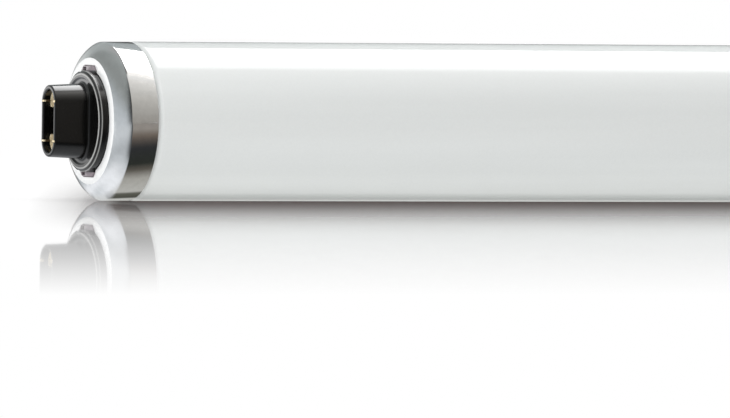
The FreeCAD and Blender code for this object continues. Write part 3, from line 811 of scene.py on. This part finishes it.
# The filler is wood flour of about 0.1 mm. It is drawn at 0.4 mm, so that a close view shows it.
filler = add_node(tree, "TexNoise", {"Vector": place, "Scale": pattern(0.4), "Detail": 3.0})
flow = add_node(tree, "TexNoise", {"Vector": place, "Scale": pattern(4), "Detail": 2.0})
tone = add_node(tree, "ValToRGB", {"Fac": filler})
set_ramp(tone, [(0.35, "080808"), (0.7, "0f0f0e")])
axes = add_node(tree, "SeparateXYZ", {"Vector": place})
from_middle = add_node(tree, "Math", {0: axes.outputs["X"]}, operation="ABSOLUTE")
across = add_node(tree, "CombineXYZ", {"Y": axes.outputs["Y"], "Z": axes.outputs["Z"]})
off_axis = add_node(tree, "VectorMath", {0: across}, operation="LENGTH")
section = add_node(tree, "CombineXYZ", {"X": from_middle, "Y": off_axis})
print("phenolic: filler and flow")

# %% Painted highlights on the rim, painted reflection on the lugs
colour = tone
# The pale colour on the rim's two edges is a painted highlight, where the edges would catch the light.
for edge_height, edge_radius, width, highlight_hex in (
    (RIM_HEIGHT, disc_radius - RIM_CHAMFER[1], 0.30, "a8a8a6"),
    (RIM_HEIGHT - RIM_CHAMFER[0], disc_radius, 0.22, "8c8c8a"),
):
    corner = Vector((RING_PLACE + edge_height, edge_radius, 0)) * MM
    gap = add_node(tree, "VectorMath", {0: section, 1: corner}, operation="DISTANCE")
    painted_highlight = add_node(tree, "MapRange", {
        "Value": gap, "From Min": width * 0.4 * MM, "From Max": width * MM, "To Min": 1.0, "To Max": 0.0})
    colour = add_node(tree, "Mix", {"Factor": painted_highlight, "A": colour, "B": linear(highlight_hex)}, data_type="RGBA")
# The pinkish grey on the lugs is a painted reflection, as their glossy black faces would mirror the room.
out_of_middle = add_node(tree, "Math", {0: axes.outputs["Z"]}, operation="ABSOLUTE")
lug_painted_reflection = add_node(tree, "MapRange", {
    "Value": out_of_middle, "From Min": (LUG_KNEE - 0.1) * MM, "From Max": (LUG_KNEE + 0.2) * MM})
colour = add_node(tree, "Mix", {"Factor": lug_painted_reflection, "A": colour, "B": linear("8a7f85")}, data_type="RGBA")
print("phenolic: worn edges and lugs")

# %% Gloss of the moulding
gloss = add_node(tree, "MapRange", {"Value": flow, "To Min": 0.14, "To Max": 0.22})
for socket, plain, polished in (("Specular IOR Level", 0.5, 1.0), ("IOR", 1.45, 1.7)):
    on_top = add_node(tree, "MapRange", {
        "Value": axes.outputs["Z"], "From Min": 5.0 * MM, "From Max": 7.0 * MM,
        "To Min": plain, "To Max": polished})
    fill(shader, {socket: on_top})
grain = add_node(tree, "Bump", {"Height": filler, "Strength": 0.05, "Distance": 0.00001})
fill(shader, {"Base Color": colour, "Roughness": gloss, "Normal": grain})
print("phenolic ready")

# %% [markdown]
# ## Brass, cement and wire
# The contacts are rolled brass strip, bright and pale, with the fine lines of the rolls along it. Where
# it climbs from the spring to the ears, down in the recess, it is darkened brown by painted shade. The
# cement that holds the cap is a baked mix of marble flour and resin, brown and full of pores. The leads
# are nickel-plated copper, drawn through a die. The last two lie inside the cap and keep the meshes of
# the CAD, whose shape is right.

# %% Brass
brass, tree, shader, place = new_material("rolled_brass_strip")
rolled = add_node(tree, "Mapping", {"Vector": place, "Scale": (pattern(0.17), pattern(2), pattern(2))})
lines = add_node(tree, "TexNoise", {"Vector": rolled, "Scale": 1.0, "Detail": 2.0})
tone = add_node(tree, "ValToRGB", {"Fac": lines})
set_ramp(tone, [(0.3, "f8e4b8"), (0.7, "fff2d4")])
axes = add_node(tree, "SeparateXYZ", {"Vector": place})
from_middle = add_node(tree, "Math", {0: axes.outputs["X"]}, operation="ABSOLUTE")
# The brown band from the spring up to the ears is painted shade, as the recess around it would cast it.
up_the_boss = add_node(tree, "MapRange", {
    "Value": from_middle, "From Min": (RING_PLACE + strip_top - 0.5) * MM,
    "From Max": (RING_PLACE + BOSS_REACH) * MM})
recess_painted_shade = add_node(tree, "ValToRGB", {"Fac": up_the_boss})
set_ramp(recess_painted_shade, [(0.22, "ffffff"), (0.28, "5c5040"), (0.75, "5c5040"), (0.84, "ffffff")])
shaded_brass_tone = add_node(tree, "Mix", {"Factor": 1.0, "A": tone, "B": recess_painted_shade},
                   data_type="RGBA", blend_type="MULTIPLY")
dull = add_node(tree, "MapRange", {"Value": lines, "To Min": 0.40, "To Max": 0.55})
fill(shader, {"Base Color": shaded_brass_tone, "Metallic": 0.25, "Roughness": dull})
print("brass ready")

# %% Cement
cement, tree, shader, place = new_material("basing_cement")
pores = add_node(tree, "TexVoronoi", {"Vector": place, "Scale": pattern(1.1)})
cloud = add_node(tree, "TexNoise", {"Vector": place, "Scale": pattern(2), "Detail": 5.0})
tone = add_node(tree, "ValToRGB", {"Fac": cloud})
set_ramp(tone, [(0.3, "8a7458"), (0.7, "b39a78")])
pitted = add_node(tree, "Bump", {"Height": pores, "Strength": 0.5, "Distance": 0.0002})
fill(shader, {"Base Color": tone, "Roughness": 0.9, "Normal": pitted})
print("cement ready")

# %% Wire
wire, tree, shader, place = new_material("nickel_plated_wire")
drawn = add_node(tree, "Mapping", {"Vector": place, "Scale": (pattern(3.3), pattern(0.11), pattern(0.11))})
lines = add_node(tree, "TexNoise", {"Vector": drawn, "Scale": 1.0, "Detail": 2.0})
tone = add_node(tree, "ValToRGB", {"Fac": lines})
set_ramp(tone, [(0.3, "b9b6ae"), (0.7, "d3d0c8")])
dull = add_node(tree, "MapRange", {"Value": lines, "To Min": 0.25, "To Max": 0.4})
fill(shader, {"Base Color": tone, "Metallic": 1.0, "Roughness": dull})
print("wire ready")

# %% Materials on pieces and nodes
finishes = {
    "coated_glass": coated_glass,
    "aluminium": aluminium,
    "insulator": phenolic,
    "brass": brass,
    "cement": cement,
    "lead_wire": wire,
}
for piece, node, slot in pieces:
    piece.data.materials.clear()
    piece.data.materials.append(finishes[slot])
for name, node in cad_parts.items():
    for ending, slot in (
        ("glass_tube", "coated_glass"),
        ("end_cap", "aluminium"),
        ("insulator", "insulator"),
        ("contact", "brass"),
        ("cement", "cement"),
        ("lead", "lead_wire"),
    ):
        if name.endswith(ending):
            node.data.materials.clear()
            node.data.materials.append(finishes[slot])
print("materials assigned")

# %% [markdown]
# ## Table
# The photograph stands the lamp on a white light table: opal acrylic with a gloss on it, lit a little
# from below. Here that is a plain plane. Part of its white is the room's light, so the lamp's own
# shadow darkens it, and part is its own glow, which lifts the underside of the tube. Far from the
# lamp it passes into pure white. The gloss mirrors the lamp and fades with the distance from it.
# Close to the lamp a painted shadow, a dark and warm gloss, takes over, and it starts softly at the lamp's
# left end.
# Both glosses come from the Fresnel law, made steeper, so they show only from very low down. From
# above the table is plain and pale.

# %% Floor and its white
FLOOR_HEIGHT = -GLASS_RADIUS * MM
FLOOR_SIZE = 12.0
bpy.ops.object.select_all(action="DESELECT")
bpy.ops.mesh.primitive_plane_add(size=FLOOR_SIZE, location=(0, 0, FLOOR_HEIGHT))
floor = bpy.context.object
floor.name = "floor"
bpy.ops.object.transform_apply(location=True)

opal, tree, shine, place = new_material("glossy_opal_table")
tree.nodes.remove(shine)
axes = add_node(tree, "SeparateXYZ", {"Vector": place})
off_axis = add_node(tree, "Math", {0: axes.outputs["Y"]}, operation="ABSOLUTE")
acrylic = add_node(tree, "BsdfDiffuse", {"Color": linear("dcdcdc")})
scattered = add_node(tree, "LightPath").outputs["Is Diffuse Ray"]
near_level = add_node(tree, "MapRange", {"Value": scattered, "To Min": 0.36, "To Max": 0.44})
glow_below = add_node(tree, "Emission", {"Color": linear("ffffff"), "Strength": near_level})
lit = add_node(tree, "AddShader", {0: acrylic, 1: glow_below})
far_level = add_node(tree, "MapRange", {"Value": scattered, "To Min": 1.0, "To Max": 0.6})
white = add_node(tree, "Emission", {"Color": linear("ffffff"), "Strength": far_level})
far = add_node(tree, "MapRange", {
    "Value": off_axis, "From Min": 0.08, "From Max": 0.45}, interpolation_type="SMOOTHSTEP")
base = add_node(tree, "MixShader", {"Fac": far, 1: lit, 2: white})
print("floor at", round(FLOOR_HEIGHT / MM, 2), "mm")

# %% Mirror in the table
fresnel = add_node(tree, "Fresnel", {"IOR": 1.4})


def low_view_only(power, gain):
    """The Fresnel share, raised to a power and scaled, so that it is left only from low down."""
    steeper = add_node(tree, "Math", {0: fresnel, 1: power}, operation="POWER")
    return add_node(tree, "Math", {0: steeper, 1: gain}, operation="MULTIPLY", use_clamp=True)


mirror = add_node(tree, "BsdfGlossy", {"Color": linear("ffffff"), "Roughness": 0.02})
mirror_fade = add_node(tree, "MapRange", {
    "Value": off_axis, "From Min": 0.24, "From Max": 0.62, "To Min": 0.80, "To Max": 0.0})
along_view = add_node(tree, "Mapping", {"Vector": place, "Rotation": (0, 0, YAW)})
across_view = add_node(tree, "SeparateXYZ", {"Vector": along_view}).outputs["X"]
lamp_side = add_node(tree, "MapRange", {
    "Value": across_view, "From Min": -0.36, "From Max": -0.29}, interpolation_type="SMOOTHSTEP")
kept = add_node(tree, "Math", {0: mirror_fade, 1: lamp_side}, operation="MULTIPLY")
amount = add_node(tree, "Math", {0: low_view_only(4.0, 1.7), 1: kept}, operation="MULTIPLY")
glossed = add_node(tree, "MixShader", {"Fac": amount, 1: base, 2: mirror})
print("mirror ready")

# %% Painted warm shadow near the lamp
SHADE_START = -0.2626
SHADE_FULL = -0.2400
into_shade = add_node(tree, "MapRange", {
    "Value": across_view, "From Min": SHADE_START, "From Max": SHADE_FULL})
left_end = add_node(tree, "ValToRGB", {"Fac": into_shade})
set_ramp(left_end, [
    (0.0, "000000"), (0.32, "7f7f7f"), (0.53, "adadad"), (0.63, "cccccc"), (0.84, "dfdfdf"),
    (0.95, "fbfbfb"), (1.0, "ffffff")])
shade_fade = add_node(tree, "MapRange", {
    "Value": off_axis, "From Min": -0.04, "From Max": 0.27, "To Min": 1.0, "To Max": 0.0,
}, interpolation_type="SMOOTHSTEP")
near = add_node(tree, "Math", {0: left_end, 1: shade_fade}, operation="MULTIPLY")
shade_amount = add_node(tree, "Math", {0: low_view_only(6.0, 2.45), 1: near}, operation="MULTIPLY")
# This dark, warm gloss is a painted shadow on the table under and in front of the lamp.
shade = add_node(tree, "BsdfGlossy", {"Color": linear("3c1d1b"), "Roughness": 0.3})
surface = add_node(tree, "MixShader", {"Fac": shade_amount, 1: glossed, 2: shade})
fill(tree.nodes["Material Output"], {"Surface": surface})
floor.data.materials.append(opal)
print("table finish:", opal.name)

# %% [markdown]
# ## Studio flats
# Bright metal shows nothing but its surroundings, so a product photographer builds them. Three curved
# flats run along the lamp: a softbox overhead, a grey flat behind, and a warm grey one in front that
# darkens towards the table. A cool flat stands across the left end, a white card lies behind it, and a
# graded strip lies on the table. The few colours along each started from tones read at points along the
# skirt and the shoulder of the photographed cap, which mirror them, and were then changed until the
# render agreed with the photograph. All are seen only in reflections. The light on the powder, the
# moulding and the flat ring comes from the room and from two soft lamps.

# %% Flats seen in reflections
def hide_but_reflect(flat):
    """Leaves a flat visible only in mirror and gloss."""
    flat.visible_camera = False
    flat.visible_diffuse = False
    flat.visible_shadow = False
    flat.visible_transmission = False


def curved_flat(name, radius, start, end, low, high, steps):
    """A flat curved round the tube's axis. Angles rise from 0 in front, over 90 above, to 180 behind."""
    angle = math.radians(start)
    flat = start_point(name, Vector((low, -radius * math.cos(angle), radius * math.sin(angle))) / MM)
    bpy.ops.mesh.extrude_vertices_move(**moved((high - low) / MM, 0, 0))
    pick_all()
    bpy.ops.mesh.spin(steps=steps, angle=math.radians(end - start), center=(0, 0, 0), axis=(1, 0, 0))
    close()
    hide_but_reflect(flat)
    return flat


def sheet(name, low, high):
    """A flat rectangle between two corners in metres, lying down or standing across the tube's axis."""
    low = Vector(low)
    high = Vector(high)
    stands = low.x == high.x
    bpy.ops.object.select_all(action="DESELECT")
    bpy.ops.mesh.primitive_plane_add(size=1.0, rotation=(0, math.pi / 2 if stands else 0, 0))
    flat = bpy.context.object
    flat.name = name
    bpy.ops.object.transform_apply(rotation=True)
    edit(flat)
    pick_all()
    bpy.ops.transform.resize(value=[side or 1.0 for side in high - low])
    bpy.ops.transform.translate(value=(low + high) / 2)
    close()
    hide_but_reflect(flat)
    return flat


print("flat helpers ready")


# %% Glowing finishes
def glow(name, strength):
    """A material that only shines, with its tree, its shader and the X, Y and Z of a place on it."""
    material = bpy.data.materials.new(name)
    material.use_nodes = True
    tree = material.node_tree
    tree.nodes.clear()
    place = add_node(tree, "TexCoord").outputs["Object"]
    axes = add_node(tree, "SeparateXYZ", {"Vector": place})
    shine = add_node(tree, "Emission", {"Strength": strength})
    add_node(tree, "OutputMaterial", {"Surface": shine})
    material.cycles.emission_sampling = "NONE"
    return material, tree, shine, axes


def angle_ramp(tree, axes, start, end, stops):
    """A colour that follows the angle round the tube's axis."""
    toward = add_node(tree, "Math", {0: axes.outputs["Y"], 1: -1.0}, operation="MULTIPLY")
    angle = add_node(tree, "Math", {0: axes.outputs["Z"], 1: toward}, operation="ARCTAN2")
    part = add_node(tree, "MapRange", {
        "Value": angle, "From Min": math.radians(start), "From Max": math.radians(end)})
    ramp = add_node(tree, "ValToRGB", {"Fac": part})
    set_ramp(ramp, [((degrees - start) / (end - start), colour) for degrees, colour in stops])
    return ramp


print("glow helpers ready")

# %% [markdown]
# Distances are in metres from the tube's axis, and angles run round it: 0 in front, 90 above and 180
# behind. The softbox is far brighter than white, because black moulding mirrors only a few hundredths
# of what it faces. Its front edge fades, so that the skirt's highlight has a soft border, and its left
# end is dim, because the shoulder mirrors it there.

# %% Softbox
FLAT_RADIUS = 1.2
FRONT_START = -0.9
SOFTBOX_ANGLES = (71.0, 132.0)
SOFTBOX_LEVEL = 4.5
BACK_END = 177.4
LEFT_END = -0.62
RIGHT_END = 5.0
softbox = curved_flat("overhead_softbox", FLAT_RADIUS, *SOFTBOX_ANGLES, LEFT_END, RIGHT_END, 16)
softbox_glow, tree, shine, axes = glow("softbox_cloth", SOFTBOX_LEVEL)
lit_part = add_node(tree, "MapRange", {
    "Value": axes.outputs["X"], "From Min": -0.07, "From Max": 0.06, "To Min": 0.078,
}, interpolation_type="SMOOTHSTEP")
edge = angle_ramp(tree, axes, SOFTBOX_ANGLES[0], 90.0, [
    (71.0, "817f7d"), (76.0, "868482"), (80.0, "939190"), (87.0, "ffffff")])
faded = add_node(tree, "Mix", {"Factor": 1.0, "A": lit_part, "B": edge},
                 data_type="RGBA", blend_type="MULTIPLY")
fill(shine, {"Color": faded})
softbox.data.materials.append(softbox_glow)
print("softbox:", softbox.name)

# %% Back flat
back = curved_flat("back_flat", FLAT_RADIUS, SOFTBOX_ANGLES[1], BACK_END, LEFT_END, RIGHT_END, 12)
back_glow, tree, shine, axes = glow("grey_back_flat", 1.0)
colour = angle_ramp(tree, axes, SOFTBOX_ANGLES[1], BACK_END, [
    (132.0, "a8adae"), (152.0, "a8aeb0"), (160.0, "a0a6a6"), (168.0, "626666"), (177.4, "2c2e2e")])
left_colour = angle_ramp(tree, axes, SOFTBOX_ANGLES[1], BACK_END, [
    (132.0, "a0a5a5"), (160.0, "a6abab"), (168.0, "c4c8c8"), (177.4, "f0f0f0")])
toward_right = add_node(tree, "MapRange", {"Value": axes.outputs["X"], "From Min": -0.25, "From Max": 0.05})
graded = add_node(tree, "Mix", {"Factor": toward_right, "A": left_colour, "B": colour}, data_type="RGBA")
fill(shine, {"Color": graded})
back.data.materials.append(back_glow)
print("behind:", back.name)

# %% Front flat
front = curved_flat("front_flat", FLAT_RADIUS, FRONT_START, SOFTBOX_ANGLES[0], LEFT_END, RIGHT_END, 20)
front_glow, tree, shine, axes = glow("graded_front_flat", 1.0)
colour = angle_ramp(tree, axes, -1.0, SOFTBOX_ANGLES[0], [
    (-1.0, "96928c"), (13.0, "a5a29d"), (24.6, "b0ada8"), (36.5, "bebbb6"), (48.8, "cccac6"),
    (61.8, "e4e1dd"), (71.0, "f0efed")])
fill(shine, {"Color": colour})
front.data.materials.append(front_glow)
print("in front:", front.name)

# %% Flat across the left end
CARD_LEVEL = 1.45
wall = sheet("left_flat", (LEFT_END, -FLAT_RADIUS, FLOOR_HEIGHT), (LEFT_END, FLAT_RADIUS, FLAT_RADIUS))
wall_glow, tree, shine, axes = glow("cool_left_flat", 1.0)
level = add_node(tree, "ValToRGB", {"Fac": axes.outputs["Z"]})
set_ramp(level, [(0.05, "bcc1c6"), (0.12, "9a9fa0"), (0.2, "8f9392"), (0.28, "868a89"), (1.0, "989e9d")])
in_front = add_node(tree, "MapRange", {
    "Value": axes.outputs["Y"], "From Min": -0.43, "From Max": -0.20, "To Min": 0.14,
}, interpolation_type="SMOOTHSTEP")
shaded = add_node(tree, "Mix", {"Factor": in_front, "A": linear("000000"), "B": level}, data_type="RGBA")
behind = add_node(tree, "MapRange", {"Value": axes.outputs["Y"], "From Min": 0.42, "From Max": 0.52})
low_down = add_node(tree, "MapRange", {
    "Value": axes.outputs["Z"], "From Min": 0.05, "From Max": 0.10, "To Min": 1.0, "To Max": 0.0})
is_card = add_node(tree, "Math", {0: behind, 1: low_down}, operation="MULTIPLY")
with_card = add_node(tree, "Mix", {"Factor": is_card, "A": shaded, "B": [CARD_LEVEL] * 3 + [1.0]},
                     data_type="RGBA")
fill(shine, {"Color": with_card})
wall.data.materials.append(wall_glow)
print("left end:", wall.name)

# %% White card
CARD_LIFT = 0.1
card_height = FLOOR_HEIGHT + CARD_LIFT * MM
card = sheet("white_card", (LEFT_END, 0.10, card_height), (-0.34, 1.15, card_height))
card_glow, tree, shine, axes = glow("white_card_behind", CARD_LEVEL)
fill(shine, {"Color": linear("ffffff")})
card.data.materials.append(card_glow)
print("card:", card.name)

# %% [markdown]
# The strip on the table is what the underside of the cap mirrors. Beside the lamp its colours follow the
# distance from the axis in millimetres. Past the shoulder they follow the distance from the lamp's end,
# and they are dark towards the front, which draws the dark line along the bend of the cap. From below,
# where the floor's own mirror sees it, the strip is clear.

# %% Strip on the table, beside the lamp
STRIP_REACH = 1.15
STRIP_LIFT = 0.05
NEAR_REACH = 0.12
strip_height = FLOOR_HEIGHT + STRIP_LIFT * MM
strip = sheet("table_strip", (LEFT_END, -STRIP_REACH, strip_height),
              (-LEFT_END, STRIP_REACH, strip_height))
strip_glow, tree, shine, axes = glow("graded_table_strip", 1.0)
off_axis = add_node(tree, "Math", {0: axes.outputs["Y"]}, operation="ABSOLUTE")
part = add_node(tree, "MapRange", {"Value": off_axis, "From Max": NEAR_REACH})
ramp = add_node(tree, "ValToRGB", {"Fac": part})
reach = NEAR_REACH / MM
# The darker bands beside the lamp are painted shade of the table near the tube, as the cap mirrors it.
set_ramp(ramp, [(place / reach, colour) for place, colour in (
    (0.0, "c8c8c4"), (3.2, "c0c0bc"), (4.0, "4a4b44"), (6.5, "5c5c54"), (7.5, "b8b7b2"), (13.0, "a6a49e"),
    (17.0, "5c5851"), (20.5, "2b2e2a"), (34.0, "2d2e30"), (60.0, "6c625a"), (90.0, "867f78"),
    (118.0, "908a84"))])
print("strip:", [round(side, 3) for side in strip.dimensions])

# %% Strip past the shoulder
PAST_FROM = RING_PLACE - 5
PAST_TO = RING_PLACE - 0.5
DARK_CORNER = RING_PLACE - 10
from_middle = add_node(tree, "Math", {0: axes.outputs["X"]}, operation="ABSOLUTE")
past_shoulder = add_node(tree, "MapRange", {
    "Value": from_middle, "From Min": PAST_FROM * MM, "From Max": PAST_TO * MM})
across = add_node(tree, "CombineXYZ", {"X": from_middle, "Y": axes.outputs["Y"]})
from_end = add_node(tree, "VectorMath", {0: across, 1: (RING_PLACE * MM, 0, 0)}, operation="DISTANCE")
end_part = add_node(tree, "MapRange", {"Value": from_end, "From Max": NEAR_REACH})
end_ramp = add_node(tree, "ValToRGB", {"Fac": end_part})
set_ramp(end_ramp, [(place / reach, colour) for place, colour in (
    (0.0, "d4d8dc"), (6.0, "f2f4f8"), (11.0, "f0f2f6"), (14.0, "e2e4e8"), (20.0, "c8ccd0"),
    (28.0, "b6babe"), (34.0, "aeb2b6"), (40.0, "b6babe"), (50.0, "c0c4c8"), (70.0, "c6cace"),
    (85.0, "ced2d6"))])
in_front = add_node(tree, "Math", {0: axes.outputs["Y"], 1: -1.0}, operation="MULTIPLY")
out_left = add_node(tree, "Math", {0: from_middle, 1: DARK_CORNER * MM}, operation="SUBTRACT")
slope = add_node(tree, "Math", {0: in_front, 1: out_left}, operation="DIVIDE")
toward_front = add_node(tree, "MapRange", {
    "Value": slope, "From Min": 1.0, "From Max": 1.8}, interpolation_type="SMOOTHSTEP")
clear_of_lamp = add_node(tree, "MapRange", {
    "Value": in_front, "From Min": 17 * MM, "From Max": 30 * MM,
}, interpolation_type="SMOOTHSTEP")
in_the_dark = add_node(tree, "Math", {0: toward_front, 1: clear_of_lamp}, operation="MULTIPLY")
beyond = add_node(tree, "Mix", {"Factor": in_the_dark, "A": end_ramp, "B": linear("505254")},
                  data_type="RGBA")
table = add_node(tree, "Mix", {"Factor": past_shoulder, "A": ramp, "B": beyond}, data_type="RGBA")
fill(shine, {"Color": table})
print("strip coloured from", PAST_FROM, "to", PAST_TO, "mm")

# %% Strip seen from above only
clear = add_node(tree, "BsdfTransparent")
facing = add_node(tree, "NewGeometry")
one_sided = add_node(tree, "MixShader", {"Fac": facing.outputs["Backfacing"], 1: shine, 2: clear})
fill(tree.nodes["Material Output"], {"Surface": one_sided})
strip.data.materials.append(strip_glow)
print("strip finish:", strip_glow.name)

# %% [markdown]
# ## Light
# The room gives a white light at a plain level, so that a colour renders about as it is written. It is
# weaker near the horizon, where the flats stand in its way, and that shades the front of the tube. One
# large soft lamp overhead adds a little direction, and one at the left brightens the flat ring. The
# camera, mirrors and glass all see the same white surroundings.

# %% Room
world = bpy.data.worlds.new("white_room")
bpy.context.scene.world = world
world.use_nodes = True
tree = world.node_tree
tree.nodes.clear()
path = add_node(tree, "LightPath")
direction = add_node(tree, "TexCoord").outputs["Generated"]
height = add_node(tree, "SeparateXYZ", {"Vector": direction}).outputs["Z"]
level = add_node(tree, "MapRange", {
    "Value": height, "From Max": 0.8, "To Min": 0.06})
room = add_node(tree, "Background", {"Color": linear("ffffff"), "Strength": level})
seen = add_node(tree, "Background", {"Color": linear("ffffff"), "Strength": 1.0})
camera_or_gloss = add_node(tree, "Math", {
    0: path.outputs["Is Camera Ray"], 1: path.outputs["Is Glossy Ray"]}, operation="MAXIMUM")
any_view = add_node(tree, "Math", {
    0: camera_or_gloss, 1: path.outputs["Is Transmission Ray"]}, operation="MAXIMUM")
sky = add_node(tree, "MixShader", {"Fac": any_view, 1: room, 2: seen})
add_node(tree, "OutputWorld", {"Surface": sky})
print("room:", world.name)


# %% Soft lamps
def soft_lamp(name, place, turn, **settings):
    """An area lamp that no mirror and no camera sees."""
    data = bpy.data.lights.new(name, "AREA")
    for key, value in settings.items():
        setattr(data, key, value)
    lamp = bpy.data.objects.new(name, data)
    lamp.location = place
    lamp.rotation_euler = turn
    lamp.visible_glossy = False
    lamp.visible_camera = False
    bpy.context.scene.collection.objects.link(lamp)


to_left_end = Vector((1.33, 0.15, -0.25)).to_track_quat("-Z", "Y").to_euler()
soft_lamp("soft_lamp", (0.1, -0.15, 1.3), (math.radians(-6), 0, 0),
          shape="RECTANGLE", size=2.0, size_y=0.9, energy=3.0)
soft_lamp("side_lamp", (-1.6, -0.15, 0.25), to_left_end, shape="SQUARE", size=0.8, energy=9.5)
print("lights:", len(bpy.data.lights))
